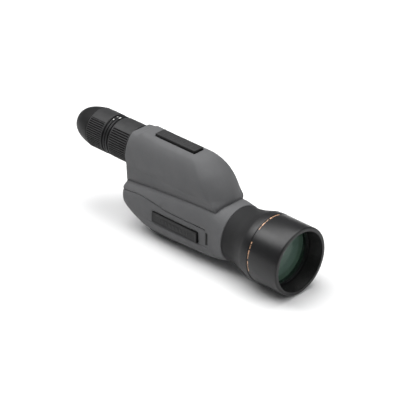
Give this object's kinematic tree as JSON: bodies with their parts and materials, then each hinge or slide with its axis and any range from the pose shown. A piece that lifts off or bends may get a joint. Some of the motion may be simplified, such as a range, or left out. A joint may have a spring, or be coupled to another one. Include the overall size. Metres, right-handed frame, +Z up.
{
  "type": "spotting scope",
  "caption": "Compact folded-path spotting scope: flared objective bell, rubber-armoured prism body, straight zoom eyepiece with twist-up eyecup, rear focus knob and tripod foot.",
  "frame": {"origin": "centre of the tripod foot's bottom face, between the tripod thread and the anti-twist pin hole", "axes": "+X from the eyepiece to the objective, +Z up, +Y to the user's left"},
  "size_m": [0.316, 0.075, 0.115],
  "materials": {
    "armour_rubber": "matte",
    "pad_rubber": "matte",
    "grip_rubber": "satin",
    "black_anodised": "satin black",
    "cast_alloy": "as cast",
    "steel": "satin",
    "brass": "turned",
    "seal_rubber": "matte",
    "coated_glass": "green anti-reflection coating",
    "optical_glass": "polished"
  },
  "bodies": {
    "body": {"rubber_armour": "armour_rubber", "main_housing": "cast_alloy", "top_pad": "pad_rubber", "side_pad_right": "pad_rubber", "side_pad_left": "pad_rubber", "tripod_foot": "black_anodised", "foot_screw_1": "steel", "foot_screw_2": "steel", "purge_screw": "steel", "objective_barrel": "black_anodised", "objective_front_lens": "coated_glass", "objective_spacer": "black_anodised", "objective_rear_lens": "optical_glass", "objective_retaining_ring": "black_anodised", "barrel_baffle": "black_anodised", "barrel_seal": "seal_rubber", "prism_bulkhead": "cast_alloy", "bulkhead_screw_1": "steel", "bulkhead_screw_2": "steel", "bulkhead_screw_3": "steel", "guide_rod_right": "steel", "guide_rod_left": "steel", "front_prism_cell": "cast_alloy", "front_prism": "optical_glass", "front_prism_spring": "steel", "cell_screw_1": "steel", "cell_screw_2": "steel", "focus_bushing": "brass", "focus_shaft_seal": "seal_rubber", "eyepiece_barrel": "black_anodised", "eyepiece_lock_nut": "brass", "eyepiece_seal": "seal_rubber", "eyepiece_front_grip": "grip_rubber", "index_collar": "black_anodised", "field_lens": "optical_glass", "field_stop": "black_anodised", "eye_lens": "coated_glass", "eye_lens_retainer": "black_anodised"},
    "focus_carriage": {"prism_carriage": "cast_alloy", "rear_prism": "optical_glass", "rear_prism_clip": "steel", "clip_screw_1": "steel", "clip_screw_2": "steel"},
    "focus_knob": {"focus_knob": "black_anodised", "focus_knob_grip": "grip_rubber", "focus_shaft": "steel", "focus_set_screw": "steel"},
    "zoom_ring": {"zoom_ring": "black_anodised", "zoom_ring_grip": "grip_rubber", "zoom_drive_pin": "steel", "zoom_cam_sleeve": "brass"},
    "front_zoom_cell": {"front_zoom_cell": "cast_alloy", "front_zoom_lens": "optical_glass"},
    "rear_zoom_cell": {"rear_zoom_cell": "cast_alloy", "rear_zoom_lens": "optical_glass"},
    "eyecup_ring": {"eyecup_guide_ring": "black_anodised"},
    "eyecup": {"eyecup_sleeve": "black_anodised", "eyecup_rubber": "grip_rubber"}
  },
  "joints": [
    {"name": "focus_knob_turn", "type": "hinge", "parent": "body", "child": "focus_knob", "pos_m": [-0.0587, 0, 0.039], "axis": [1, 0, 0], "range_deg": [-360, 360]},
    {"name": "prism_carriage_slide", "type": "slide", "parent": "body", "child": "focus_carriage", "axis": [1, 0, 0], "range_m": [-0.0045, 0.0045]},
    {"name": "zoom_ring_turn", "type": "hinge", "parent": "body", "child": "zoom_ring", "pos_m": [-0.1, 0, 0.0864], "axis": [1, 0, 0], "range_deg": [0, 120]},
    {"name": "front_zoom_slide", "type": "slide", "parent": "body", "child": "front_zoom_cell", "axis": [1, 0, 0], "range_m": [0, 0.012]},
    {"name": "rear_zoom_slide", "type": "slide", "parent": "body", "child": "rear_zoom_cell", "axis": [1, 0, 0], "range_m": [0, 0.005]},
    {"name": "eyecup_twist", "type": "hinge", "parent": "body", "child": "eyecup_ring", "pos_m": [-0.121, 0, 0.0864], "axis": [1, 0, 0], "range_deg": [0, 90]},
    {"name": "eyecup_slide", "type": "slide", "parent": "eyecup_ring", "child": "eyecup", "axis": [-1, 0, 0], "range_m": [0, 0.008]}
  ],
  "couplings": [
    {"joint": "prism_carriage_slide", "follows": "focus_knob_turn", "m_per_rad": 0.000636},
    {"joint": "front_zoom_slide", "follows": "zoom_ring_turn", "m_per_rad": 0.005729},
    {"joint": "rear_zoom_slide", "follows": "zoom_ring_turn", "m_per_rad": 0.002387},
    {"joint": "eyecup_slide", "follows": "eyecup_twist", "m_per_rad": 0.00509}
  ]
}
